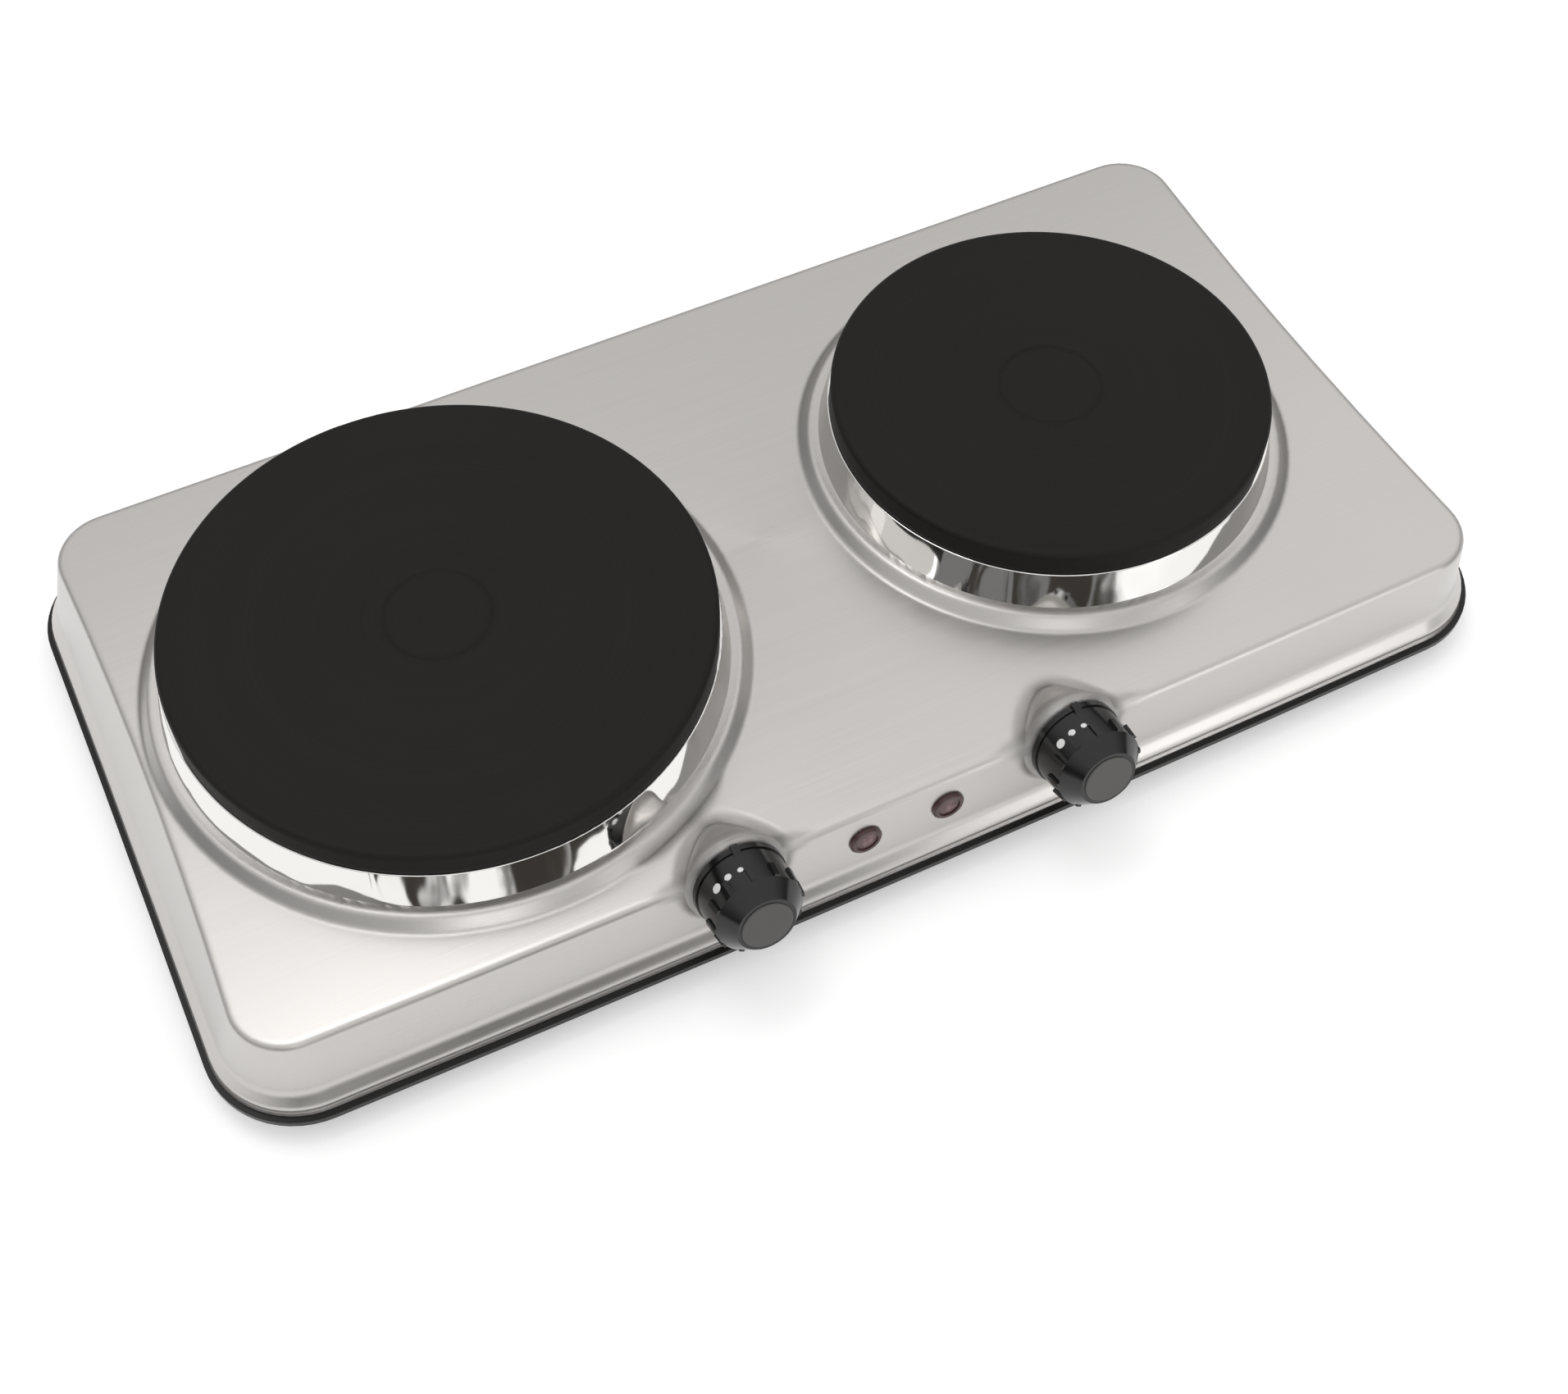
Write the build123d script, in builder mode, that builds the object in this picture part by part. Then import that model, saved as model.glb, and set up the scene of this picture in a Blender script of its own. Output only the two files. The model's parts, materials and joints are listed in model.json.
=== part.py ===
from build123d import *
import os
from math import atan2, cos, degrees, pi, radians, sin, sqrt, tan

os.makedirs("parts", exist_ok=True)

# Double electric hot plate. Millimetres, X to the right, the front faces -Y, Z = 0 is the table.

# Body
body_width = 480.0
body_depth = 248.0
body_height = 37.5
base_corner = 33.0
base_bow = 0.6
front_bow = 2.3
sheet = 0.8
pan_sheet = 0.8
pan_rim_height = 2.4
pan_rim_width = 5.0
lip_inset = 2.0
lip_thickness = 1.2
band_height = 6.5
band_inset = 2.6
flare_height = 11.5
flare_inset = 6.0
top_inset_side = 12.5
top_inset_front = 8.5
top_inset_back = 12.5
top_corner = 19.0
top_bow = 3.6
top_edge_round = 2.4
top_edge_steps = 5
flare_round = 4.0
band_round = 2.0

# Feet
foot_height = 9.0
foot_radius = 10.0
foot_tread_radius = 8.5
foot_edge_round = 1.0
foot_neck_radius = 3.9
foot_head_radius = 5.6
foot_head_height = 2.2
foot_edge_x = 60.0
foot_edge_y = 39.0

# Plates: the large one on the left, the small one on the right
plate_y = -2.8
large_x = -118.0
small_x = 113.5
large_radius = 92.5
small_radius = 77.5
plate_rim_height = 9.2
plate_edge_round = 2.0
plate_dish_radius = 18.5
plate_dish_depth = 0.8
spigot_inset = 6.0
spigot_depth = 11.0
element_groove_depth = 7.0
element_groove_width = 26.0
element_groove_edge = 14.0
element_radius = 2.5
element_clearance = 0.2
element_lead_spread = 14.0

# Trim rings and the raised ring of the housing below them
plateau_height = 4.0
plateau_slope = 4.0
plateau_margin = 11.0
plateau_crest_round = 1.4
plateau_foot_round = 1.0
trim_height = 14.3
trim_sheet = 0.8
trim_gap = 0.8
trim_flare = 2.8
trim_foot_width = 4.0
trim_edge_round = 0.35
trim_bore_clearance = 1.0
opening_clearance = 1.5

# Plate fixing
shield_sheet = 0.8
shield_clearance = 1.0
stud_radius = 3.0
stud_engagement = 8.0
stud_tail = 3.0
thread_clearance = 0.05
bridge_width = 22.0
bridge_thickness = 2.5
bridge_grip = 7.0
nut_radius = 5.8
nut_height = 5.0
block_length = 30.0
block_width = 16.0
block_height = 9.0
lead_clearance = 0.1
lead_hole_clearance = 1.0
lead_tail = 2.5

# Knobs, square to a pressed boss that stands up over the front edge
front_offset = -3.5
knob_spread = 123.0
knob_tilt = 15.0
knob_drop = 4.5
boss_radius = 18.5
boss_proud = 0.7
boss_depth = 17.0
boss_taper = 27.0
boss_round = 1.4
knob_gap = 1.0
knob_radius = 16.0
knob_skirt_height = 2.2
knob_body_radius = 15.5
knob_rim_radius = 15.0
knob_rim_height = 15.6
knob_height = 21.1
knob_end_radius = 10.2
knob_wall = 2.2
knob_hub_radius = 6.0
knob_rib_count = 12
knob_rib_width = 1.8
knob_rib_height = 6.0
knob_rib_proud = 0.7
pointer_width = 2.6
pointer_proud = 0.9
pointer_height = 5.0
cap_radius = 8.8
cap_depth = 1.4
cap_proud = 0.5
cap_edge_round = 0.4
cap_clearance = 0.1
shaft_radius = 3.0
shaft_flat = 1.0
shaft_clearance = 0.05
shaft_bore_depth = 13.0
shaft_end_gap = 0.3
shaft_in_body = 11.0

# Thermostats behind the knobs
bracket_width = 26.0
bracket_height = 13.0
bracket_thickness = 1.2
bracket_corner = 3.0
thermostat_width = 16.0
thermostat_height = 14.0
thermostat_depth = 17.0
bush_radius = 5.5
bush_clearance = 0.3
bush_proud = 1.8
fixing_screw_radius = 1.5
fixing_screw_head = 2.6
fixing_screw_head_height = 1.6
fixing_screw_length = 7.0
fixing_screw_spread = 20.0
tab_width = 5.0
tab_thickness = 0.8
tab_length = 7.0
tab_spread = 10.0

# Indicator lamps on the front
lamp_spread = 30.5
lamp_height = 24.3
lens_radius = 5.8
lens_proud = 1.4
lens_recess_radius = 4.0
lens_recess = 0.5
lamp_shank_radius = 4.6
lamp_shank_length = 6.0
lamp_body_radius = 4.0
lamp_body_length = 15.0
lamp_clip_width = 1.6
lamp_clip_thickness = 1.2
lamp_clearance = 0.1

# Cord inlet and mains terminals
inlet_x = 0.0
inlet_height = 24.0
inlet_bore_radius = 3.6
inlet_neck_radius = 6.0
inlet_flange_radius = 8.5
inlet_inner_flange_radius = 7.4
inlet_flange_thickness = 2.2
inlet_round = 0.8
wall_allowance = 0.3
mains_x = 30.0
mains_setback = 44.0
mains_length = 42.0
mains_width = 16.0
mains_height = 14.0
mains_poles = 5
mains_pitch = 8.0
mains_wire_height = 6.0
mains_screw_radius = 1.5
mains_screw_head = 2.4
mains_screw_head_height = 1.2
mains_screw_length = 5.0
earth_x = 78.0
earth_screw_length = 4.0

# Posts and screws that hold the base pan to the housing
post_radius = 4.0
post_edge_x = 35.0
post_edge_y = 29.0
rear_post_x = -40.0
pan_screw_radius = 1.5
pan_screw_head = 3.4
pan_screw_head_height = 2.0
pan_screw_length = 12.0
screw_clearance = 0.1
screw_hole_clearance = 0.4

# Vent slots in the base pan
vent_count = 5
vent_pitch = 14.0
vent_length = 60.0
vent_width = 4.0

# Wires inside
wire_radius = 1.1
wire_bend = 7.0
wire_run_out = 10.0
live_level = 10.0
neutral_level = 16.0
live_run = 0.0
switched_run = -40.0
neutral_run = 20.0

# Levels and places worked out from the sizes above
pan_z = foot_height
lip_z = pan_z + pan_rim_height
band_z = pan_z + band_height
flare_z = pan_z + flare_height
top_z = pan_z + body_height
plateau_z = top_z + plateau_height
plate_rim_z = plateau_z + trim_height
plate_top_z = plate_rim_z + plate_rim_height
spigot_z = plate_rim_z - spigot_depth
floor_z = pan_z + pan_sheet
tilt = radians(knob_tilt)
knob_centre_height = body_height - knob_drop
front_slope = atan2(top_inset_front - flare_inset, body_height - flare_height)
back_slope = atan2(top_inset_back - flare_inset, body_height - flare_height)


def slope_inset(height, top_inset):
    """Inset of a slanted panel from the pan's rim at a height above the pan's underside."""
    share = (height - flare_height) / (body_height - flare_height)
    return flare_inset + share * (top_inset - flare_inset)


def edge_inset(top_inset, drop, radius):
    """Inset at a drop below the top: along the slanted panel, then round the top edge."""
    slope = atan2(top_inset - flare_inset, body_height - flare_height)
    if radius - drop < radius * sin(slope):
        return top_inset - drop * tan(slope)
    return top_inset + radius * tan((pi / 2 - slope) / 2) - sqrt(radius ** 2 - (radius - drop) ** 2)


# The knob facet is proud of the front by boss_proud at its centre.
facet_back = slope_inset(knob_centre_height, top_inset_front) - front_bow - boss_proud
knob_reach = (knob_gap + knob_height) * cos(tilt) + knob_end_radius * sin(tilt) - facet_back
# The body stands back so that the origin is under the middle of the whole box, knobs included.
body_y = knob_reach / 2
front_y = body_y - body_depth / 2
back_y = body_y + body_depth / 2
facet_y = front_y + facet_back
facet_z = pan_z + knob_centre_height
centre_y = body_y + plate_y

sides = {"left": -1, "right": 1}
plates = {"large": (large_x, large_radius), "small": (small_x, small_radius)}


def knob_plane(side):
    """Plane on the outer face of a knob boss, with its normal along the knob's axis."""
    origin = (front_offset + sides[side] * knob_spread / 2, facet_y, facet_z)
    return Plane(origin=origin, x_dir=(1, 0, 0), z_dir=(0, -cos(tilt), sin(tilt)))


def lamp_plane(side):
    """Plane on the sloping front at an indicator lamp."""
    lamp_y = front_y + slope_inset(lamp_height, top_inset_front) - front_bow
    origin = (front_offset + sides[side] * lamp_spread / 2, lamp_y, pan_z + lamp_height)
    return Plane(origin=origin, x_dir=(1, 0, 0), z_dir=(0, -cos(front_slope), sin(front_slope)))


def inlet_plane():
    """Plane on the sloping back at the cord inlet."""
    origin = (inlet_x, back_y - slope_inset(inlet_height, top_inset_back), pan_z + inlet_height)
    return Plane(origin=origin, x_dir=(-1, 0, 0), z_dir=(0, cos(back_slope), sin(back_slope)))


def outline(height, side, front, back, corner, bow):
    """Plan outline at a height, inset from the pan's rim: bowed front and sides, straight back."""
    half = body_width / 2 - side
    y_front = front_y + front
    y_back = back_y - back
    with BuildSketch(Plane.XY.offset(height)) as plan:
        with BuildLine():
            ThreePointArc((-half, y_front), (0, y_front - front_bow), (half, y_front))
            ThreePointArc((half, y_front), (half - bow, body_y), (half, y_back))
            Line((half, y_back), (-half, y_back))
            ThreePointArc((-half, y_back), (bow - half, body_y), (-half, y_front))
        make_face()
        fillet(plan.vertices(), radius=corner)
    return plan.sketch


def even_outline(height, inset):
    """Outline with one inset on every side and corners that stay concentric."""
    return outline(height, inset, inset, inset, base_corner - inset, base_bow)


def level_edges(form, height):
    """Edges of a form that lie flat at a height."""
    flat = form.edges().filter_by_position(Axis.Z, height - 0.01, height + 0.01)
    return flat.filter_by(lambda edge: edge.bounding_box().size.Z < 0.02)


def circles(form, radius):
    """Round edges of a form with a radius."""
    return form.edges().filter_by(GeomType.CIRCLE).filter_by(lambda edge: abs(edge.radius - radius) < 0.001)


def body_form(skin):
    """Solid inside the housing's outer face, drawn in by skin, open to the base."""
    edge_round = top_edge_round - skin
    crease = []
    for step in range(top_edge_steps + 1):
        turn = front_slope + (pi / 2 - front_slope) * step / top_edge_steps
        drop = edge_round * (1 - sin(turn))
        side = edge_inset(top_inset_side, drop, edge_round)
        front = edge_inset(top_inset_front, drop, edge_round)
        back = edge_inset(top_inset_back, drop, edge_round)
        corner = top_corner + top_inset_side - side
        crease.append(outline(top_z - skin - drop, side + skin, front + skin, back + skin,
                              corner - skin, top_bow))
    flare = even_outline(flare_z, flare_inset + skin)
    band = even_outline(band_z, band_inset + skin)
    lower = even_outline(lip_z, band_inset + skin)
    facet_radius = boss_radius - skin
    with BuildPart() as form:
        loft(sections=[flare, *crease], ruled=True)
        loft(sections=[flare, band], ruled=True)
        loft(sections=[band, lower], ruled=True)
        fillet(level_edges(form, flare_z), radius=flare_round + skin)
        fillet(level_edges(form, band_z), radius=band_round - skin)
        for x, radius in plates.values():
            ring = radius + plateau_margin - skin
            with Locations((x, centre_y, top_z - skin)):
                Cone(ring, ring - plateau_slope, plateau_height,
                     align=(Align.CENTER, Align.CENTER, Align.MIN))
            fillet(circles(form, ring), radius=plateau_foot_round + skin)
            fillet(circles(form, ring - plateau_slope), radius=plateau_crest_round - skin)
        for side in sides:
            with Locations(knob_plane(side).offset(-skin)):
                Cone(facet_radius - boss_depth * tan(radians(boss_taper)), facet_radius, boss_depth,
                     align=(Align.CENTER, Align.CENTER, Align.MAX))
        fillet(circles(form, facet_radius), radius=boss_round - skin)
        split(bisect_by=Plane.XY.offset(lip_z), keep=Keep.TOP)
    return form.part


def ring_section(x):
    """Upright half plane through a plate's centre: radius across, height up."""
    return Plane(origin=(x, centre_y, 0), x_dir=(1, 0, 0), z_dir=(0, -1, 0))


def radial_plane(base, angle):
    """Half plane through the normal of a base plane: radius across, distance along the normal up."""
    turn = radians(angle)
    outward = base.x_dir * cos(turn) + base.y_dir * sin(turn)
    return Plane(origin=base.origin, x_dir=outward, z_dir=outward.cross(base.z_dir))


def turned(section, axis, points):
    """Solid of revolution from a closed list of (radius, height) points."""
    with BuildPart() as solid:
        with BuildSketch(section):
            with BuildLine():
                Polyline(*points, close=True)
            make_face()
        revolve(axis=axis)
    return solid.part


def save(builder, name):
    """Label a finished piece and write it."""
    builder.part.label = name
    export_step(builder.part, f"parts/{name}.step")


# Housing: one pressing of steel sheet with raised rings, knob bosses and an outward lip
with BuildPart() as top_housing:
    add(body_form(0))
    extrude(even_outline(lip_z, lip_inset), amount=lip_thickness)
    add(body_form(sheet), mode=Mode.SUBTRACT)
    for x, radius in plates.values():
        with Locations((x, centre_y, plateau_z)):
            Cylinder(radius - spigot_inset + opening_clearance, 3 * plateau_height, mode=Mode.SUBTRACT)
    for side in sides:
        with Locations(knob_plane(side)):
            Cylinder(bush_radius + bush_clearance, 4 * sheet, mode=Mode.SUBTRACT)
            with GridLocations(fixing_screw_spread, 0, 2, 1):
                Cylinder(fixing_screw_radius + screw_clearance, 4 * sheet, mode=Mode.SUBTRACT)
        with Locations(lamp_plane(side)):
            Cylinder(lamp_shank_radius + lamp_clearance, 4 * sheet, mode=Mode.SUBTRACT)
    with Locations(inlet_plane()):
        Cylinder(inlet_neck_radius, 6 * sheet, mode=Mode.SUBTRACT)
save(top_housing, "top_housing")

# Places of the feet, posts and terminals, shared by the pan and what stands on it
foot_places = {
    f"foot_{end}_{side}": (sign * (body_width / 2 - foot_edge_x),
                           body_y + way * (body_depth / 2 - foot_edge_y))
    for end, way in (("front", -1), ("rear", 1))
    for side, sign in sides.items()
}
post_x = body_width / 2 - post_edge_x
post_places = [(sign * post_x, y) for sign in sides.values()
               for y in (front_y + post_edge_y, back_y - post_edge_y)]
post_places += [(0, front_y + post_edge_y), (rear_post_x, back_y - post_edge_y)]
mains_y = back_y - mains_setback
earth_place = (earth_x, mains_y)

# Base pan: a shallow black tray with a rim that stands out round the lip, vents and holes for feet and screws
with BuildPart() as base_pan:
    extrude(even_outline(pan_z, 0), amount=pan_rim_height)
    extrude(even_outline(floor_z, pan_rim_width), amount=pan_rim_height, mode=Mode.SUBTRACT)
    with Locations(*[(*place, floor_z) for place in foot_places.values()]):
        Hole(foot_neck_radius)
    with Locations(*[(*place, floor_z) for place in [*post_places, earth_place]]):
        Hole(pan_screw_radius + screw_hole_clearance)
    for x, radius in plates.values():
        with BuildSketch(Plane.XY.offset(pan_z)):
            with Locations((x, centre_y)):
                with GridLocations(0, vent_pitch, 1, vent_count):
                    SlotOverall(vent_length, vent_width)
        extrude(amount=pan_sheet, mode=Mode.SUBTRACT)
save(base_pan, "base_pan")

# Rubber feet, each pressed through a hole in the pan
for name, (x, y) in foot_places.items():
    with BuildPart() as foot:
        with Locations((x, y, 0)):
            Cone(foot_tread_radius, foot_radius, foot_height, align=(Align.CENTER, Align.CENTER, Align.MIN))
        fillet(circles(foot, foot_tread_radius), radius=foot_edge_round)
        with Locations((x, y, pan_z)):
            Cylinder(foot_neck_radius, pan_sheet, align=(Align.CENTER, Align.CENTER, Align.MIN))
        with Locations((x, y, floor_z)):
            Cone(foot_head_radius, foot_neck_radius, foot_head_height,
                 align=(Align.CENTER, Align.CENTER, Align.MIN))
    save(foot, name)

# Posts between the pan and the underside of the top, with the screws that go up into them
with BuildPart() as housing_posts:
    with Locations(*[(*place, floor_z) for place in post_places]):
        Cylinder(post_radius, top_z - sheet - floor_z, align=(Align.CENTER, Align.CENTER, Align.MIN))
    with Locations(*[(*place, floor_z) for place in post_places]):
        Cylinder(pan_screw_radius + screw_clearance, pan_screw_length,
                 align=(Align.CENTER, Align.CENTER, Align.MIN), mode=Mode.SUBTRACT)
save(housing_posts, "housing_posts")

with BuildPart() as base_screws:
    with Locations(*[(*place, pan_z) for place in post_places]):
        Cylinder(pan_screw_head, pan_screw_head_height, align=(Align.CENTER, Align.CENTER, Align.MAX))
        Cylinder(pan_screw_radius, pan_screw_length, align=(Align.CENTER, Align.CENTER, Align.MIN))
save(base_screws, "base_screws")

# Plates with their trim rings, elements and fixings
bridge_z = plateau_z - sheet
dish_z = plate_top_z - plate_dish_depth
shield_z = spigot_z - shield_sheet
stud_end_z = bridge_z - bridge_thickness - nut_height - stud_tail
lead_end_z = shield_z - block_height - lead_tail
element_z = spigot_z + element_groove_depth - element_clearance - element_radius
lead_places = {}
for name, (x, radius) in plates.items():
    axis = Axis((x, centre_y, 0), (0, 0, 1))
    section = ring_section(x)
    spigot = radius - spigot_inset
    groove_outer = spigot - element_groove_edge
    groove_inner = groove_outer - element_groove_width
    groove_top = spigot_z + element_groove_depth
    stud_hole = stud_radius + thread_clearance
    stud_top = spigot_z + stud_engagement
    element_ring = (groove_outer + groove_inner) / 2
    lead_half = element_lead_spread / 2
    lead_y = centre_y + sqrt(element_ring ** 2 - lead_half ** 2)
    lead_places[name] = [(x - lead_half, lead_y), (x + lead_half, lead_y)]

    # Cast iron plate with a shallow centre dish on top and a groove for the element below
    with BuildPart() as hotplate:
        add(turned(section, axis, [
            (0, dish_z), (plate_dish_radius - plate_dish_depth, dish_z), (plate_dish_radius, plate_top_z),
            (radius, plate_top_z), (radius, plate_rim_z), (spigot, plate_rim_z), (spigot, spigot_z),
            (groove_outer, spigot_z), (groove_outer, groove_top), (groove_inner, groove_top),
            (groove_inner, spigot_z), (stud_hole, spigot_z), (stud_hole, stud_top), (0, stud_top)]))
        fillet(circles(hotplate, radius).sort_by(Axis.Z)[-1], radius=plate_edge_round)
    save(hotplate, f"{name}_hotplate")

    # Polished trim ring that stands on the housing and carries the rim of the plate
    trim_top = radius + trim_gap
    trim_base = trim_top + trim_flare
    trim_bore = spigot + trim_bore_clearance
    trim_foot = trim_base - trim_foot_width
    with BuildPart() as trim_ring:
        add(turned(section, axis, [
            (trim_base, plateau_z), (trim_top, plate_rim_z), (trim_bore, plate_rim_z),
            (trim_bore, plate_rim_z - trim_sheet), (trim_top - trim_sheet, plate_rim_z - trim_sheet),
            (trim_base - trim_sheet, plateau_z + trim_sheet), (trim_foot, plateau_z + trim_sheet),
            (trim_foot, plateau_z)]))
        fillet(circles(trim_ring, trim_top), radius=trim_edge_round)
    save(trim_ring, f"{name}_trim_ring")

    # Sheathed element: an open ring in the groove with two leads down through the terminal block
    with BuildPart() as element:
        with BuildSketch(Plane(origin=(x, centre_y, 0), x_dir=(lead_half, lead_y - centre_y, 0),
                               z_dir=(lead_y - centre_y, -lead_half, 0))):
            with Locations((element_ring, element_z)):
                Circle(element_radius)
        revolve(axis=axis, revolution_arc=-360 + 2 * degrees(atan2(lead_half, lead_y - centre_y)))
        with Locations(*[(*place, element_z) for place in lead_places[name]]):
            Sphere(element_radius)
            Cylinder(element_radius, element_z - lead_end_z, align=(Align.CENTER, Align.CENTER, Align.MAX))
    save(element, f"{name}_heating_element")

    # Sheet shield under the plate
    with BuildPart() as shield:
        with Locations((x, centre_y, shield_z)):
            Cylinder(spigot - shield_clearance, shield_sheet, align=(Align.CENTER, Align.CENTER, Align.MIN))
        with Locations((x, centre_y, spigot_z)):
            Hole(stud_hole)
        with Locations(*[(*place, spigot_z) for place in lead_places[name]]):
            Hole(element_radius + lead_hole_clearance)
    save(shield, f"{name}_heat_shield")

    # Ceramic block that holds the element's leads
    with BuildPart() as terminal_block:
        with Locations((x, lead_y, shield_z)):
            Box(block_length, block_width, block_height, align=(Align.CENTER, Align.CENTER, Align.MAX))
        with Locations(*[(*place, shield_z) for place in lead_places[name]]):
            Hole(element_radius + lead_clearance)
    save(terminal_block, f"{name}_terminal_block")

    # Clamp bridge, stud and nut that pull the plate down on its ring
    with BuildPart() as bridge:
        with Locations((x, centre_y, bridge_z)):
            Box(2 * (spigot + opening_clearance + bridge_grip), bridge_width, bridge_thickness,
                align=(Align.CENTER, Align.CENTER, Align.MAX))
            Hole(stud_hole)
    save(bridge, f"{name}_clamp_bridge")

    with BuildPart() as stud:
        with Locations((x, centre_y, stud_end_z)):
            Cylinder(stud_radius, stud_top - thread_clearance - stud_end_z,
                     align=(Align.CENTER, Align.CENTER, Align.MIN))
    save(stud, f"{name}_centre_stud")

    with BuildPart() as nut:
        with BuildSketch(Plane.XY.offset(bridge_z - bridge_thickness)):
            with Locations((x, centre_y)):
                RegularPolygon(nut_radius, 6)
                Circle(stud_hole, mode=Mode.SUBTRACT)
        extrude(amount=-nut_height)
    save(nut, f"{name}_stud_nut")

# Knobs, caps, spindles and thermostats, square to the knob bosses
bracket_z = -sheet - bracket_thickness
knob_end = knob_gap + knob_height
skirt_end = knob_gap + knob_skirt_height
hub_start = knob_gap + bush_proud
recess = knob_end - cap_depth
rim_end = knob_gap + knob_rim_height
cavity_end = rim_end - knob_wall
shaft_top = hub_start + shaft_bore_depth - shaft_end_gap
thermostat_back = bracket_z - thermostat_depth


def d_profile(radius, flat):
    """Round shaft profile with one flat, on the current sketch plane."""
    with BuildSketch(mode=Mode.PRIVATE) as profile:
        Circle(radius)
        with Locations((0, flat)):
            Rectangle(2 * radius, 2 * radius, align=(Align.CENTER, Align.MIN), mode=Mode.SUBTRACT)
    return profile.sketch


tab_points = {}
for side in sides:
    face = knob_plane(side)
    axis = Axis(face.origin, face.z_dir)
    flat = shaft_radius - shaft_flat

    # Knob: hollow tapered shell with a hub, grip ribs and a pointer
    with BuildPart() as knob:
        add(turned(radial_plane(face, 0), axis, [
            (0, hub_start), (0, recess), (cap_radius + cap_clearance, recess),
            (cap_radius + cap_clearance, knob_end), (knob_end_radius, knob_end),
            (knob_rim_radius, rim_end), (knob_body_radius, skirt_end), (knob_radius, skirt_end),
            (knob_radius, knob_gap), (knob_radius - knob_wall, knob_gap),
            (knob_rim_radius - knob_wall, cavity_end), (knob_hub_radius, cavity_end),
            (knob_hub_radius, hub_start)]))
        rib_start = rim_end - knob_rib_height
        for index in range(knob_rib_count):
            with BuildSketch(radial_plane(face, index * 360 / knob_rib_count)):
                with BuildLine():
                    Polyline((knob_rim_radius - knob_rib_proud, rib_start),
                             (knob_body_radius + knob_rib_proud, rib_start + knob_rib_proud),
                             (knob_rim_radius + knob_rib_proud, rim_end),
                             (knob_rim_radius - knob_rib_proud, rim_end), close=True)
                make_face()
            extrude(amount=knob_rib_width / 2, both=True)
        with BuildSketch(radial_plane(face, 90)):
            with BuildLine():
                pointer_end = knob_gap + pointer_height
                Polyline((knob_body_radius - knob_wall / 2, knob_gap),
                         (knob_radius + pointer_proud, knob_gap),
                         (knob_radius + pointer_proud, skirt_end),
                         (knob_body_radius - knob_wall / 2, pointer_end), close=True)
            make_face()
        extrude(amount=pointer_width / 2, both=True)
        with BuildSketch(face.offset(hub_start)):
            add(d_profile(shaft_radius + shaft_clearance, flat + shaft_clearance))
        extrude(amount=shaft_bore_depth, mode=Mode.SUBTRACT)
    save(knob, f"{side}_knob")

    # Grey cap let into the knob's end
    with BuildPart() as cap:
        with Locations(face.offset(recess)):
            Cylinder(cap_radius, cap_depth + cap_proud, align=(Align.CENTER, Align.CENTER, Align.MIN))
        fillet(circles(cap, cap_radius).sort_by(axis)[-1], radius=cap_edge_round)
    save(cap, f"{side}_knob_cap")

    # Spindle: round in the bush, with a flat inside the knob
    with BuildPart() as spindle:
        with Locations(face):
            Cylinder(shaft_radius, shaft_in_body, align=(Align.CENTER, Align.CENTER, Align.MAX))
            Cylinder(shaft_radius, bush_proud, align=(Align.CENTER, Align.CENTER, Align.MIN))
        with BuildSketch(face.offset(bush_proud)):
            add(d_profile(shaft_radius, flat))
        extrude(amount=shaft_top - bush_proud)
    save(spindle, f"{side}_spindle")

    # Bracket plate behind the boss
    with BuildPart() as bracket:
        with BuildSketch(face.offset(-sheet)):
            RectangleRounded(bracket_width, bracket_height, bracket_corner)
            Circle(bush_radius + bush_clearance, mode=Mode.SUBTRACT)
            with GridLocations(fixing_screw_spread, 0, 2, 1):
                Circle(fixing_screw_radius + screw_clearance, mode=Mode.SUBTRACT)
        extrude(amount=-bracket_thickness)
    save(bracket, f"{side}_thermostat_bracket")

    # Thermostat: switch block with a bush for the spindle and two terminal tabs
    with BuildPart() as thermostat:
        with Locations(face.offset(bracket_z)):
            Box(thermostat_width, thermostat_height, thermostat_depth,
                align=(Align.CENTER, Align.CENTER, Align.MAX))
            Cylinder(bush_radius, bush_proud - bracket_z, align=(Align.CENTER, Align.CENTER, Align.MIN))
        with Locations(face.offset(bush_proud)):
            Cylinder(shaft_radius + shaft_clearance, bush_proud + shaft_in_body + shaft_end_gap,
                     align=(Align.CENTER, Align.CENTER, Align.MAX), mode=Mode.SUBTRACT)
        with Locations(face.offset(thermostat_back)):
            with GridLocations(tab_spread, 0, 2, 1):
                Box(tab_thickness, tab_width, tab_length, align=(Align.CENTER, Align.CENTER, Align.MAX))
    save(thermostat, f"{side}_thermostat")
    tab_points[side] = [face.from_local_coords((sign * tab_spread / 2, 0, thermostat_back - tab_length))
                        for sign in (-1, 1)]

with BuildPart() as thermostat_screws:
    for side in sides:
        with Locations(knob_plane(side)):
            with GridLocations(fixing_screw_spread, 0, 2, 1):
                Cylinder(fixing_screw_head, fixing_screw_head_height,
                         align=(Align.CENTER, Align.CENTER, Align.MIN))
                Cylinder(fixing_screw_radius, fixing_screw_length,
                         align=(Align.CENTER, Align.CENTER, Align.MAX))
save(thermostat_screws, "thermostat_screws")

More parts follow.
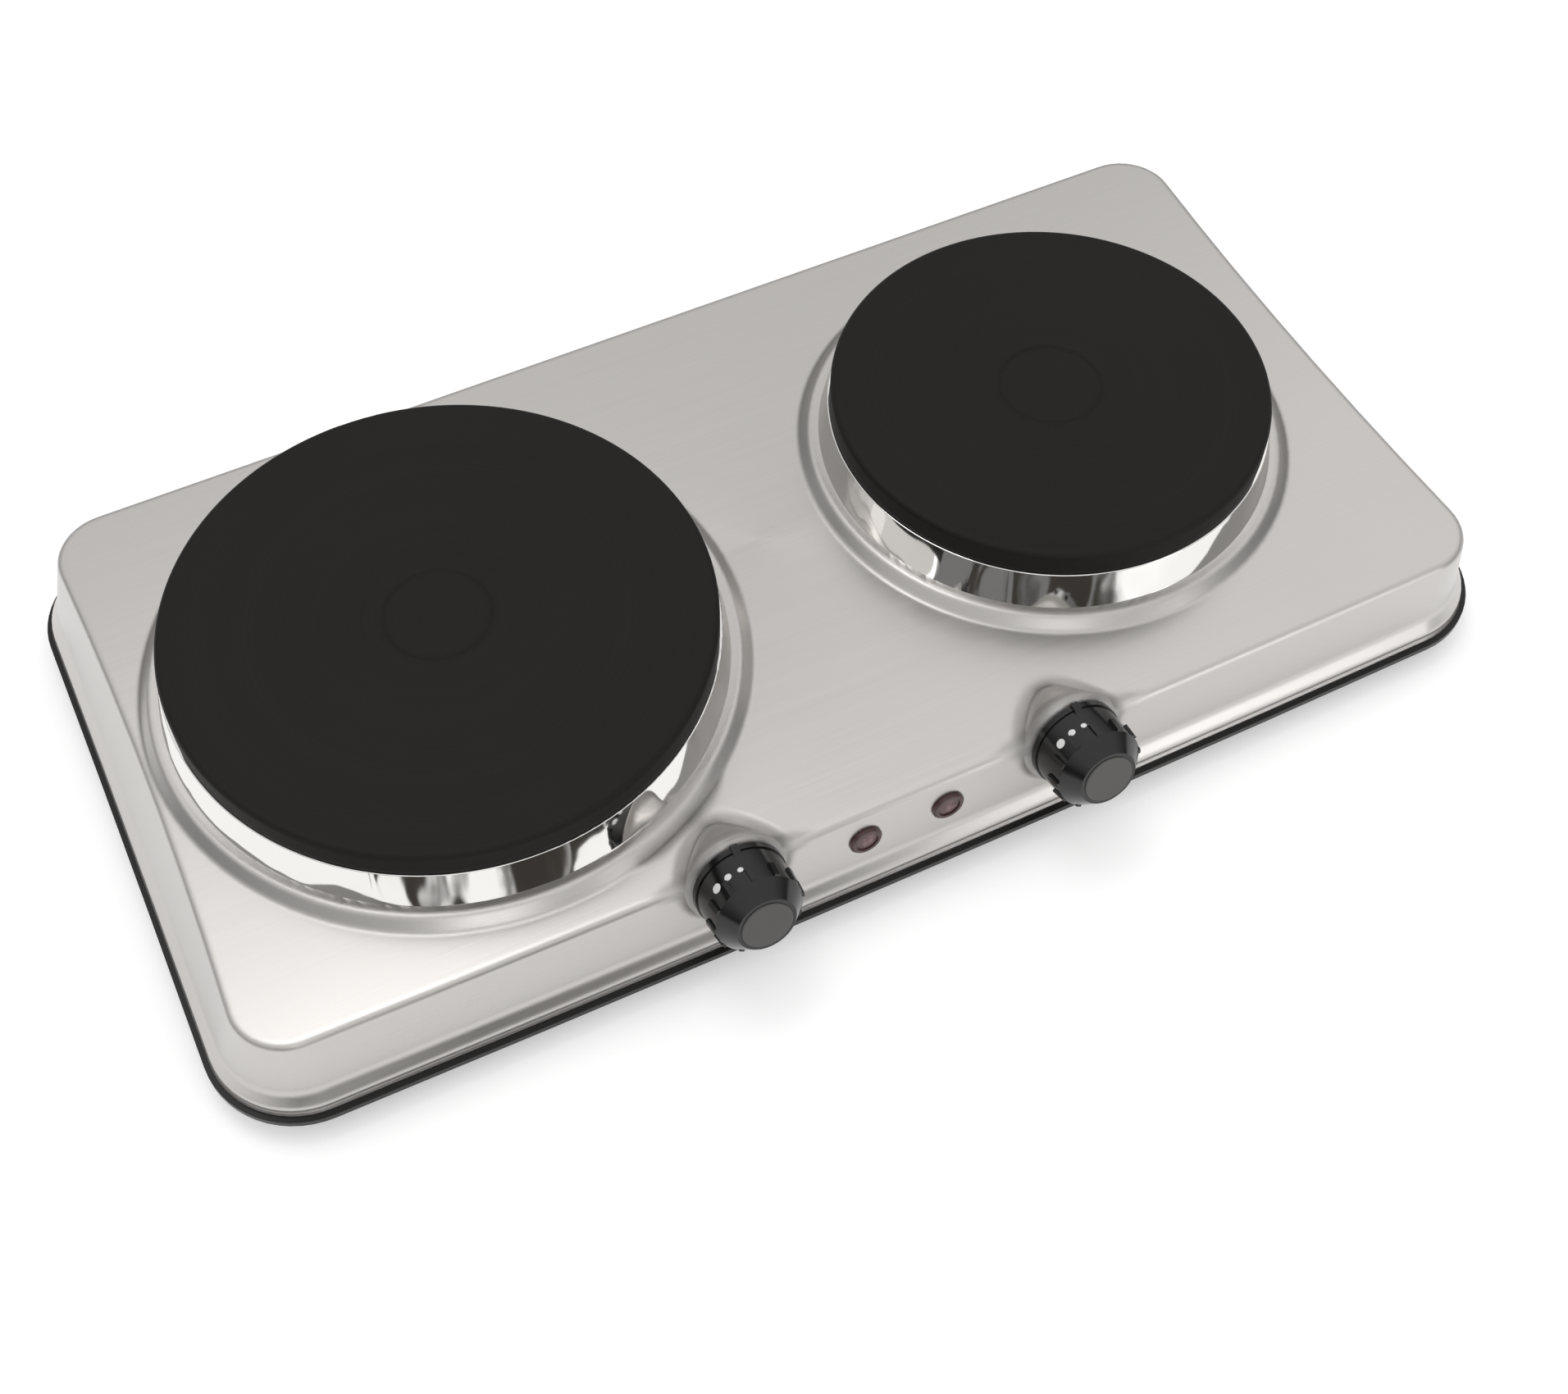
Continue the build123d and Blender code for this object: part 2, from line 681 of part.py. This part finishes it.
# Indicator lamps: lens through the front, lamp behind it, and a push-on clip
wall_depth = sheet + wall_allowance
for side in sides:
    face = lamp_plane(side)
    axis = Axis(face.origin, face.z_dir)
    with BuildPart() as lens:
        add(turned(radial_plane(face, 0), axis, [
            (0, -lamp_shank_length), (lamp_shank_radius, -lamp_shank_length), (lamp_shank_radius, 0),
            (lens_radius, 0), (lens_radius, lens_proud / 2), (lens_radius - lens_proud / 2, lens_proud),
            (lens_recess_radius, lens_proud), (lens_recess_radius, lens_proud - lens_recess),
            (0, lens_proud - lens_recess)]))
    save(lens, f"{side}_indicator_lens")
    with BuildPart() as lamp:
        with Locations(face.offset(-lamp_shank_length)):
            Cylinder(lamp_body_radius, lamp_body_length, align=(Align.CENTER, Align.CENTER, Align.MAX))
    save(lamp, f"{side}_indicator_lamp")

with BuildPart() as lamp_clips:
    for side in sides:
        with BuildSketch(lamp_plane(side).offset(-wall_depth)):
            Circle(lamp_shank_radius + lamp_clearance + lamp_clip_width)
            Circle(lamp_shank_radius + lamp_clearance, mode=Mode.SUBTRACT)
        extrude(amount=-lamp_clip_thickness)
save(lamp_clips, "lamp_clips")

# Cord inlet: a grommet that grips the edge of a hole in the back
with BuildPart() as cord_grommet:
    face = inlet_plane()
    inner_flange = wall_depth + inlet_flange_thickness
    add(turned(radial_plane(face, 0), Axis(face.origin, face.z_dir), [
        (inlet_bore_radius, -inner_flange), (inlet_inner_flange_radius, -inner_flange),
        (inlet_inner_flange_radius, -wall_depth), (inlet_neck_radius, -wall_depth), (inlet_neck_radius, 0),
        (inlet_flange_radius, 0), (inlet_flange_radius, inlet_flange_thickness),
        (inlet_bore_radius, inlet_flange_thickness)]))
    fillet(circles(cord_grommet, inlet_flange_radius).sort_by(axis)[0], radius=inlet_round)
save(cord_grommet, "cord_grommet")

# Mains terminal block on the pan, with one screw over each pole
pole_x = [mains_x + (index - (mains_poles - 1) / 2) * mains_pitch for index in range(mains_poles)]
with BuildPart() as mains_terminal_block:
    with Locations((mains_x, mains_y, floor_z)):
        Box(mains_length, mains_width, mains_height, align=(Align.CENTER, Align.CENTER, Align.MIN))
    with Locations(*[(x, mains_y, floor_z + mains_height) for x in pole_x]):
        Cylinder(mains_screw_radius + screw_clearance, mains_screw_length,
                 align=(Align.CENTER, Align.CENTER, Align.MAX), mode=Mode.SUBTRACT)
save(mains_terminal_block, "mains_terminal_block")

with BuildPart() as terminal_screws:
    with Locations(*[(x, mains_y, floor_z + mains_height) for x in pole_x]):
        Cylinder(mains_screw_head, mains_screw_head_height, align=(Align.CENTER, Align.CENTER, Align.MIN))
        Cylinder(mains_screw_radius, mains_screw_length, align=(Align.CENTER, Align.CENTER, Align.MAX))
save(terminal_screws, "terminal_screws")

with BuildPart() as earth_screw:
    with Locations((*earth_place, floor_z)):
        Cylinder(pan_screw_head, pan_screw_head_height, align=(Align.CENTER, Align.CENTER, Align.MIN))
        Cylinder(pan_screw_radius, earth_screw_length, align=(Align.CENTER, Align.CENTER, Align.MAX))
save(earth_screw, "earth_screw")


def wire(points):
    """Insulated wire along straight runs with rounded bends."""
    with BuildPart() as strand:
        with BuildLine() as route:
            FilletPolyline(*points, radius=wire_bend)
        with BuildSketch(Plane(origin=points[0], z_dir=route.line % 0)):
            Circle(wire_radius)
        sweep(path=route.line)
    return strand.part


def from_pole(index, level):
    """First points of a wire that leaves the front of a mains pole and comes to its level."""
    x = pole_x[index]
    y = mains_y - mains_width / 2
    start_z = floor_z + mains_wire_height
    return [(x, y, start_z), (x, y - wire_run_out, start_z), (x, y - 2 * wire_run_out, pan_z + level)]


def into_tab(side, index, level):
    """Last points of a wire that runs along the knob axis to a thermostat tab."""
    end = tab_points[side][index]
    start = end - knob_plane(side).z_dir * wire_run_out
    return [(start.X, start.Y + wire_run_out, pan_z + level), tuple(start), tuple(end)]


def into_lead(place, level):
    """Last points of a wire that comes forward to an element's lead and rises to its end."""
    x, y = place
    return [(x, y, pan_z + level), (x, y, lead_end_z)]


def across(start_x, end_x, y, level):
    """Run of a wire from one side to the other at its level."""
    return [(start_x, y, pan_z + level), (end_x, y, pan_z + level)]


# Wires: neutral and live leads from the mains block, switched leads from thermostat to element
neutral_poles = {"large": 0, "small": 3}
live_poles = {"left": 1, "right": 2}
earth_pole = 4
inner_tab = {"left": 1, "right": 0}
outer_tab = {"left": 0, "right": 1}
served = {"left": "large", "right": "small"}
inner_lead = {"large": 1, "small": 0}
outer_lead = {"large": 0, "small": 1}

with BuildPart() as neutral_leads:
    for name, pole in neutral_poles.items():
        place = lead_places[name][inner_lead[name]]
        add(wire([*from_pole(pole, neutral_level),
                  *across(pole_x[pole], place[0], place[1] - neutral_run, neutral_level),
                  *into_lead(place, neutral_level)]))
save(neutral_leads, "neutral_leads")

with BuildPart() as live_leads:
    for side, pole in live_poles.items():
        tab = into_tab(side, inner_tab[side], live_level)
        add(wire([*from_pole(pole, live_level),
                  *across(pole_x[pole], tab[0][0], body_y + live_run, live_level), *tab]))
save(live_leads, "live_leads")

with BuildPart() as switched_leads:
    for side, name in served.items():
        place = lead_places[name][outer_lead[name]]
        tab = into_tab(side, outer_tab[side], live_level)
        add(wire([*reversed(tab), *across(tab[0][0], place[0], body_y + switched_run, live_level),
                  *into_lead(place, live_level)]))
save(switched_leads, "switched_leads")

with BuildPart() as earth_lead:
    earth_run = mains_y - mains_width / 2 - 2 * wire_run_out - wire_bend
    add(wire([*from_pole(earth_pole, neutral_level),
              *across(pole_x[earth_pole], earth_x, earth_run, neutral_level),
              (*earth_place, pan_z + neutral_level), (*earth_place, floor_z + pan_screw_head_height)]))
save(earth_lead, "earth_lead")
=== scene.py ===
import json
from math import cos, pi, radians, sin

import bpy
from mathutils import Matrix, Vector


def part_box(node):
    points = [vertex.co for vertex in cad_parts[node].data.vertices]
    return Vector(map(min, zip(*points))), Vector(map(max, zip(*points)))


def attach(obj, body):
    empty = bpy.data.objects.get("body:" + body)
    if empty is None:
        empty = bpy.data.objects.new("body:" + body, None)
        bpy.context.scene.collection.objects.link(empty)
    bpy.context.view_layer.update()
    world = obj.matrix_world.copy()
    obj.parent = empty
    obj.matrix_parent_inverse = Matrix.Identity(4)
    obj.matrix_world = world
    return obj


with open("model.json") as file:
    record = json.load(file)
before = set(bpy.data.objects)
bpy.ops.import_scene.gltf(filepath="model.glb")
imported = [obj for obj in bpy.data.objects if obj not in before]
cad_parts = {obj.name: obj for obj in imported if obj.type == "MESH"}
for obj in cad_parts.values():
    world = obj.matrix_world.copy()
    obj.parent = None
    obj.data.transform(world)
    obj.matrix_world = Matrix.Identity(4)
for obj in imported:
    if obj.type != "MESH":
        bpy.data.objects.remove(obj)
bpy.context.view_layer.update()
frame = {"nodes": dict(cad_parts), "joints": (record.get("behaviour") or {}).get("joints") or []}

# Finishes, printed dots, stage, light and camera of the double hot plate. Metres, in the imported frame.
nodes = frame["nodes"]
scene = bpy.context.scene
scene.view_settings.view_transform = "Standard"

# Sizes of the finishes
fine_relief = 0.0002
crease_samples = 6
shell_soften = 0.0022
dome_offset = Vector((0, 0.008, 0.008))
dome_reach = 0.034
dome_soften = 0.0055
ring_wave_height = 0.0030
ring_crown_slope = -0.30
plate_edge_soften = 0.0014
plate_dish_soften = 0.0045
plate_dish_reach = 0.056
lens_disc_reach = 0.0058


def surface(tree, output):
    """Wire a shader's output to the material's surface."""
    end = [one for one in tree.nodes if one.type == "OUTPUT_MATERIAL"][0]
    tree.links.new(output, end.inputs["Surface"])


def material(name):
    """New material, its node tree and the Principled shader that is wired to its surface."""
    mat = bpy.data.materials.new(name)
    mat.use_nodes = True
    tree = mat.node_tree
    tree.nodes.clear()
    tree.nodes.new("ShaderNodeOutputMaterial")
    shader = tree.nodes.new("ShaderNodeBsdfPrincipled")
    surface(tree, shader.outputs["BSDF"])
    return mat, tree, shader


def node(tree, kind, **values):
    """New shader node with its properties and input values set."""
    made = tree.nodes.new(kind)
    for key, value in values.items():
        if hasattr(made, key):
            setattr(made, key, value)
        else:
            made.inputs[key.replace("_", " ")].default_value = value
    return made


def coords(tree, scale=(1, 1, 1), place=(0, 0, 0)):
    """Object coordinates, scaled and then moved."""
    where = node(tree, "ShaderNodeTexCoord")
    mapping = node(tree, "ShaderNodeMapping", Location=place, Scale=scale)
    tree.links.new(where.outputs["Object"], mapping.inputs["Vector"])
    return mapping.outputs["Vector"]


def ramp(tree, source, low, high, start=0.0, end=1.0, kind="LINEAR"):
    """Map a value between start and end to a range from low to high."""
    made = node(
        tree, "ShaderNodeMapRange", interpolation_type=kind,
        From_Min=start, From_Max=end, To_Min=low, To_Max=high,
    )
    tree.links.new(source, made.inputs["Value"])
    return made.outputs["Result"]


def multiply_add(tree, source, factor, added=None):
    """A value times a factor, plus another value if one is given."""
    made = node(tree, "ShaderNodeMath", operation="MULTIPLY_ADD")
    made.inputs[1].default_value = factor
    made.inputs[2].default_value = 0.0
    tree.links.new(source, made.inputs[0])
    if added is not None:
        tree.links.new(added, made.inputs[2])
    return made.outputs["Value"]


def noise(tree, vector, scale, detail=3.0, rough=0.5):
    """Noise value at a scale."""
    made = node(tree, "ShaderNodeTexNoise", Scale=scale, Detail=detail, Roughness=rough)
    tree.links.new(vector, made.inputs["Vector"])
    return made.outputs["Fac"]


def bump(tree, shader, height, strength, distance, soft=None):
    """Bump on a shader, over a bevelled normal if one is given."""
    made = node(tree, "ShaderNodeBump", Strength=strength, Distance=distance)
    tree.links.new(height, made.inputs["Height"])
    if soft is not None:
        tree.links.new(soft, made.inputs["Normal"])
    tree.links.new(made.outputs["Normal"], shader.inputs["Normal"])


def bevel(tree, radius):
    """Normal softened over creases within a radius."""
    made = node(tree, "ShaderNodeBevel", samples=crease_samples)
    tree.links.new(radius, made.inputs["Radius"])
    return made.outputs["Normal"]


def mix_colours(tree, factor, dark, light):
    """Blend of two colours by a factor."""
    made = node(tree, "ShaderNodeMix", data_type="RGBA")
    made.inputs["A"].default_value = (*dark, 1)
    made.inputs["B"].default_value = (*light, 1)
    tree.links.new(factor, made.inputs["Factor"])
    return made.outputs["Result"]


def near(tree, centre, reach):
    """1 within half a reach of a spot, falling to 0 at the reach."""
    away = node(tree, "ShaderNodeVectorMath", operation="DISTANCE")
    tree.links.new(coords(tree), away.inputs[0])
    away.inputs[1].default_value = centre
    return ramp(tree, away.outputs["Value"], 1.0, 0.0, reach / 2, reach, "SMOOTHSTEP")


def brushed_steel(name, dark, light, rough, soften, streak=(14, 1600, 1600), domes=()):
    """Steel brushed along X, with cloudy gloss and softened creases, softest round the knob domes."""
    mat, tree, shader = material(name)
    lines = noise(tree, coords(tree, streak), scale=1.0, detail=4.0, rough=0.6)
    cloud = noise(tree, coords(tree), scale=9.0, detail=2.0)
    colour = mix_colours(tree, ramp(tree, lines, 0.2, 0.8), dark, light)
    gloss = multiply_add(tree, lines, 0.10, ramp(tree, cloud, rough - 0.08, rough + 0.02))
    tree.links.new(colour, shader.inputs["Base Color"])
    tree.links.new(gloss, shader.inputs["Roughness"])
    shader.inputs["Metallic"].default_value = 1.0
    shader.inputs["Anisotropic"].default_value = 0.35
    radius = node(tree, "ShaderNodeValue").outputs["Value"]
    radius.default_value = soften
    for centre in domes:
        radius = multiply_add(tree, near(tree, centre, dome_reach), dome_soften, radius)
    bump(tree, shader, lines, 0.035, fine_relief, bevel(tree, radius))
    return mat


def polished_steel(name, colour, rough):
    """Mirror finish on thin drawn sheet: a crowned wall with slight waves and haze."""
    mat, tree, shader = material(name)
    haze = noise(tree, coords(tree), scale=40.0)
    shader.inputs["Base Color"].default_value = (*colour, 1)
    shader.inputs["Metallic"].default_value = 1.0
    tree.links.new(ramp(tree, haze, rough * 0.6, rough * 1.6), shader.inputs["Roughness"])
    split = node(tree, "ShaderNodeSeparateXYZ")
    tree.links.new(coords(tree), split.inputs["Vector"])
    waves = noise(tree, coords(tree, (1, 1, 0.5)), scale=26.0, detail=2.0)
    waves = multiply_add(tree, waves, ring_wave_height)
    crown = multiply_add(tree, split.outputs["Z"], ring_crown_slope, waves)
    bump(tree, shader, crown, 1.0, 1.0)
    return mat


def turned_iron(name, centre):
    """Black coated cast iron with fine turning rings round a centre, and a soft edge to its dish."""
    mat, tree, shader = material(name)
    away = node(tree, "ShaderNodeVectorMath", operation="LENGTH")
    tree.links.new(coords(tree, (1, 1, 0), (-centre[0], -centre[1], 0)), away.inputs[0])
    turns = node(tree, "ShaderNodeCombineXYZ")
    tree.links.new(away.outputs["Value"], turns.inputs["X"])
    fine = noise(tree, turns.outputs["Vector"], scale=900.0, detail=2.0, rough=0.7)
    broad = noise(tree, turns.outputs["Vector"], scale=90.0, detail=2.0)
    grain = noise(tree, coords(tree), scale=1400.0, detail=2.0)
    mottle = noise(tree, coords(tree), scale=14.0)
    tone = multiply_add(tree, broad, 0.5, ramp(tree, mottle, 0.0, 0.5))
    colour = mix_colours(tree, tone, (0.0075, 0.0068, 0.0062), (0.0135, 0.0122, 0.0112))
    tree.links.new(colour, shader.inputs["Base Color"])
    tree.links.new(ramp(tree, fine, 0.48, 0.66), shader.inputs["Roughness"])
    shader.inputs["Specular IOR Level"].default_value = 0.16
    dish = near(tree, centre, plate_dish_reach)
    soft = bevel(tree, ramp(tree, dish, plate_edge_soften, plate_dish_soften))
    bump(tree, shader, multiply_add(tree, grain, 0.35, fine), 0.25, fine_relief, soft)
    return mat


def moulded(name, dark, light, rough, spread=0.08, grain=900.0, relief=0.05, shine=0.5):
    """Moulded plastic, rubber or paint: a slight tone change, uneven gloss and fine texture."""
    mat, tree, shader = material(name)
    cloud = noise(tree, coords(tree), scale=60.0)
    tree.links.new(mix_colours(tree, cloud, dark, light), shader.inputs["Base Color"])
    tree.links.new(ramp(tree, cloud, rough - spread / 2, rough + spread / 2), shader.inputs["Roughness"])
    shader.inputs["Specular IOR Level"].default_value = shine
    bump(tree, shader, noise(tree, coords(tree), scale=grain, detail=2.0), relief, fine_relief)
    return mat


def tinted_lens(name, centre):
    """Unlit lamp lens: a dark rim round a mottled, lighter disc."""
    mat, tree, shader = material(name)
    mottle = noise(tree, coords(tree), scale=520.0, detail=2.0, rough=0.6)
    spread = ramp(tree, mottle, 0.0, 1.0, 0.38, 0.62, "SMOOTHSTEP")
    disc = mix_colours(tree, spread, (0.10, 0.045, 0.046), (0.235, 0.135, 0.132))
    whole = node(tree, "ShaderNodeMix", data_type="RGBA")
    whole.inputs["A"].default_value = (0.055, 0.022, 0.021, 1)
    tree.links.new(disc, whole.inputs["B"])
    tree.links.new(near(tree, centre, lens_disc_reach), whole.inputs["Factor"])
    tree.links.new(whole.outputs["Result"], shader.inputs["Base Color"])
    tree.links.new(ramp(tree, mottle, 0.28, 0.42), shader.inputs["Roughness"])
    bump(tree, shader, mottle, 0.3, fine_relief)
    return mat


def assign(obj, mat):
    """Give an object one material."""
    obj.data.materials.clear()
    obj.data.materials.append(mat)


def add_piece(name, points, faces, mat):
    """New object with a mesh and one material."""
    data = bpy.data.meshes.new(name)
    data.from_pydata(points, [], faces)
    made = bpy.data.objects.new(name, data)
    scene.collection.objects.link(made)
    assign(made, mat)
    return made


def middle(name):
    """Middle of a CAD node's box."""
    low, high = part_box(name)
    return [(a + b) / 2 for a, b in zip(low, high)]


# Finishes of the CAD pieces
dome_spots = [Vector(joint["pos_m"]) + dome_offset for joint in frame["joints"]]
shell = brushed_steel(
    "shell_brushed", (0.50, 0.483, 0.467), (0.60, 0.58, 0.562), rough=0.28, soften=shell_soften,
    domes=dome_spots,
)
chrome = polished_steel("ring_polished", (0.80, 0.785, 0.765), rough=0.05)
plain = brushed_steel(
    "plain_steel", (0.42, 0.42, 0.41), (0.55, 0.55, 0.54), rough=0.38, soften=0.0003, streak=(200, 200, 200),
)
zinc = brushed_steel(
    "zinc_plate", (0.55, 0.55, 0.54), (0.66, 0.66, 0.66), rough=0.3, soften=0.0002, streak=(400, 400, 400),
)
pan = moulded(
    "pan_enamel", (0.0055, 0.0053, 0.0050), (0.0090, 0.0086, 0.0082), rough=0.36, spread=0.1,
    grain=500.0, relief=0.08, shine=0.3,
)
rubber = moulded(
    "foot_rubber", (0.012, 0.012, 0.012), (0.022, 0.021, 0.020), rough=0.75, spread=0.1,
    grain=1200.0, relief=0.12,
)
knob_black = moulded(
    "knob_black", (0.0035, 0.0035, 0.0035), (0.0065, 0.0063, 0.0062), rough=0.17, grain=700.0, relief=0.03,
)
cap_grey = moulded(
    "cap_grey", (0.058, 0.056, 0.054), (0.080, 0.077, 0.074), rough=0.40, spread=0.1, relief=0.06,
)
white = moulded("block_white", (0.66, 0.64, 0.58), (0.76, 0.74, 0.69), rough=0.5)
brown = moulded("switch_brown", (0.09, 0.05, 0.03), (0.14, 0.08, 0.05), rough=0.45)
wire_brown = moulded("wire_brown", (0.13, 0.055, 0.025), (0.17, 0.075, 0.035), rough=0.4)
wire_blue = moulded("wire_blue", (0.03, 0.10, 0.36), (0.05, 0.13, 0.42), rough=0.4)
wire_green = moulded("wire_green", (0.12, 0.36, 0.05), (0.45, 0.42, 0.03), rough=0.4)
dot_paint = moulded("dot_white", (0.70, 0.71, 0.70), (0.80, 0.81, 0.80), rough=0.45)

by_ending = [
    ("_knob", knob_black), ("_knob_cap", cap_grey), ("trim_ring", chrome),
    ("terminal_block", white), ("_thermostat", brown), ("_indicator_lamp", white), ("stud_nut", zinc),
    ("screws", zinc), ("earth_screw", zinc), ("neutral_leads", wire_blue), ("earth_lead", wire_green),
    ("live_leads", wire_brown), ("switched_leads", wire_brown), ("top_housing", shell), ("base_pan", pan),
    ("cord_grommet", rubber),
]
for name, obj in nodes.items():
    if name.startswith("foot_"):
        assign(obj, rubber)
    elif name.endswith("_hotplate"):
        assign(obj, turned_iron(name + "_iron", middle(name)))
    elif name.endswith("_indicator_lens"):
        assign(obj, tinted_lens(name + "_tint", middle(name)))
    else:
        found = [mat for ending, mat in by_ending if name.endswith(ending)]
        assign(obj, found[0] if found else plain)

# White scale dots printed on each knob's side: angle round the axis, height along it and radius of each dot
dots = [(133.0, 0.0101, 0.00165), (114.0, 0.0101, 0.00125), (97.0, 0.0103, 0.00098)]
dot_corners = 24
print_lift = 0.00005
print_crown = 0.00003
side_low_height, side_low_radius = 0.0032, 0.0155
side_high_height, side_high_radius = 0.0166, 0.0150


def scale_dots(joint):
    """Points and faces of a knob's dots: fans of triangles bent round its side, facing out."""
    origin = Vector(joint["pos_m"])
    axis = Vector(joint["axis"]).normalized()
    right = Vector((1, 0, 0))
    up = axis.cross(right)
    points, faces = [], []
    for angle, height, size in dots:
        share = (height - side_low_height) / (side_high_height - side_low_height)
        radius = side_low_radius + share * (side_high_radius - side_low_radius) + print_lift
        first = len(points)
        centre = first + dot_corners
        for step in range(dot_corners):
            turn = 2 * pi * step / dot_corners
            around = radians(angle) + size * cos(turn) / radius
            along = height + size * sin(turn)
            out = right * cos(around) + up * sin(around)
            points.append(origin + axis * along + out * radius)
            faces.append((centre, first + step, first + (step + 1) % dot_corners))
        out = right * cos(radians(angle)) + up * sin(radians(angle))
        points.append(origin + axis * height + out * (radius + print_crown))
    return points, faces


for joint in frame["joints"]:
    name = joint["name"].replace("_knob_turn", "_scale_dots")
    piece = add_piece(name, *scale_dots(joint), dot_paint)
    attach(piece, joint["child"])

# White floor, lit by itself a little where the camera, metal or glass sees it
floor_reach = 6.0
floor_tone = 0.86
floor_glow = 0.32
floor_mat, tree, shader = material("floor_pale")
shader.inputs["Base Color"].default_value = (floor_tone, floor_tone, floor_tone, 1)
shader.inputs["Roughness"].default_value = 0.9
shader.inputs["Specular IOR Level"].default_value = 0.1
path = node(tree, "ShaderNodeLightPath")
seen = node(tree, "ShaderNodeMath", operation="ADD")
tree.links.new(path.outputs["Is Camera Ray"], seen.inputs[0])
tree.links.new(path.outputs["Is Glossy Ray"], seen.inputs[1])
seen_all = node(tree, "ShaderNodeMath", operation="ADD", use_clamp=True)
tree.links.new(seen.outputs["Value"], seen_all.inputs[0])
tree.links.new(path.outputs["Is Transmission Ray"], seen_all.inputs[1])
glow = node(tree, "ShaderNodeEmission")
tree.links.new(multiply_add(tree, seen_all.outputs["Value"], floor_glow), glow.inputs["Strength"])
blend = node(tree, "ShaderNodeAddShader")
tree.links.new(shader.outputs["BSDF"], blend.inputs[0])
tree.links.new(glow.outputs["Emission"], blend.inputs[1])
surface(tree, blend.outputs["Shader"])
floor_corners = [(x * floor_reach, y * floor_reach, 0) for x, y in ((-1, -1), (1, -1), (1, 1), (-1, 1))]
floor = add_piece("floor", floor_corners, [(0, 1, 2, 3)], floor_mat)

# Dark patchy card in front, on the left, that only reflections show
card_left, card_right = -0.55, 0.12
card_front = -0.42
card_height = 0.19
card_mat, tree, shader = material("card_dark")
shader.inputs["Roughness"].default_value = 0.9
patches = noise(tree, coords(tree, (1.0, 1.0, 0.6), (0.31, 0, 0)), scale=11.0, detail=2.0, rough=0.55)
card_colour = mix_colours(tree, patches, (0.012, 0.011, 0.010), (0.10, 0.085, 0.07))
tree.links.new(card_colour, shader.inputs["Base Color"])
clear = node(tree, "ShaderNodeBsdfTransparent")
blend = node(tree, "ShaderNodeMixShader")
tree.links.new(ramp(tree, patches, 0.0, 1.0, 0.44, 0.53, "SMOOTHSTEP"), blend.inputs["Fac"])
tree.links.new(shader.outputs["BSDF"], blend.inputs[1])
tree.links.new(clear.outputs["BSDF"], blend.inputs[2])
surface(tree, blend.outputs["Shader"])
card_corners = [
    (card_left, card_front, 0.0), (card_right, card_front, 0.0),
    (card_right, card_front, card_height), (card_left, card_front, card_height),
]
card = add_piece("card", card_corners, [(0, 1, 2, 3)], card_mat)
card.visible_camera = False
card.visible_diffuse = False
card.visible_shadow = False

# Sky that brightens from the horizon to overhead
sky_tones = [(0.0, 0.20), (0.12, 0.20), (0.38, 0.55), (0.60, 0.86), (0.84, 0.90), (1.0, 1.0)]
world = bpy.data.worlds.new("studio")
scene.world = world
world.use_nodes = True
tree = world.node_tree
tree.nodes.clear()
out = node(tree, "ShaderNodeOutputWorld")
where = node(tree, "ShaderNodeTexCoord")
split = node(tree, "ShaderNodeSeparateXYZ")
tree.links.new(where.outputs["Generated"], split.inputs["Vector"])
sky = node(tree, "ShaderNodeValToRGB")
stops = sky.color_ramp.elements
while len(stops) < len(sky_tones):
    stops.new(0.5)
for stop, (place, tone) in zip(stops, sky_tones):
    stop.position = place
    stop.color = (tone, tone, tone, 1)
tree.links.new(split.outputs["Z"], sky.inputs["Fac"])
room = node(tree, "ShaderNodeBackground", Strength=1.0)
tree.links.new(sky.outputs["Color"], room.inputs["Color"])
tree.links.new(room.outputs["Background"], out.inputs["Surface"])

# Soft lamps: place, size and power
lamp_aim = Vector((0, 0, 0.05))


def softbox(name, place, size, power):
    """Rectangular area light pointed at the hot plate."""
    lamp = bpy.data.lights.new(name, "AREA")
    lamp.shape = "RECTANGLE"
    lamp.size, lamp.size_y = size
    lamp.energy = power
    obj = bpy.data.objects.new(name, lamp)
    scene.collection.objects.link(obj)
    obj.location = place
    obj.rotation_euler = (lamp_aim - Vector(place)).to_track_quat("-Z", "Y").to_euler()


softbox("key_overhead", (-0.20, 0.45, 1.9), (0.8, 0.6), 4.5)
softbox("fill_right", (1.25, 0.60, 1.5), (0.9, 0.9), 0.7)
softbox("front_right", (0.95, -1.85, 0.42), (0.7, 0.75), 4.5)
softbox("front_left", (-0.55, -1.75, 0.95), (0.8, 0.6), 2.2)

# Camera fitted to the photo, in its pixels
image_width, image_height = 1912.0, 1700.0
focal_px = 2538.67
centre_px = (867.586, 875.571)
turn, lift, roll = radians(-24.264), radians(56.25), radians(-1.271)
aim = Vector((-0.047934, -0.054348, 0.049))
distance = 0.68731
ahead = Vector((-sin(turn) * cos(lift), cos(turn) * cos(lift), -sin(lift)))
across = Vector((cos(turn), sin(turn), 0))
upward = across.cross(ahead)
right = across * cos(roll) + upward * sin(roll)
up = upward * cos(roll) - across * sin(roll)
spot = aim - ahead * distance
lens_data = bpy.data.cameras.new("camera")
lens_data.sensor_fit = "HORIZONTAL"
lens_data.sensor_width = 36.0
lens_data.lens = focal_px * lens_data.sensor_width / image_width
lens_data.shift_x = (image_width / 2 - centre_px[0]) / image_width
lens_data.shift_y = (centre_px[1] - image_height / 2) / image_width
camera = bpy.data.objects.new("camera", lens_data)
scene.collection.objects.link(camera)
camera.matrix_world = Matrix((
    (right.x, up.x, -ahead.x, spot.x),
    (right.y, up.y, -ahead.y, spot.y),
    (right.z, up.z, -ahead.z, spot.z),
    (0, 0, 0, 1),
))
scene.camera = camera
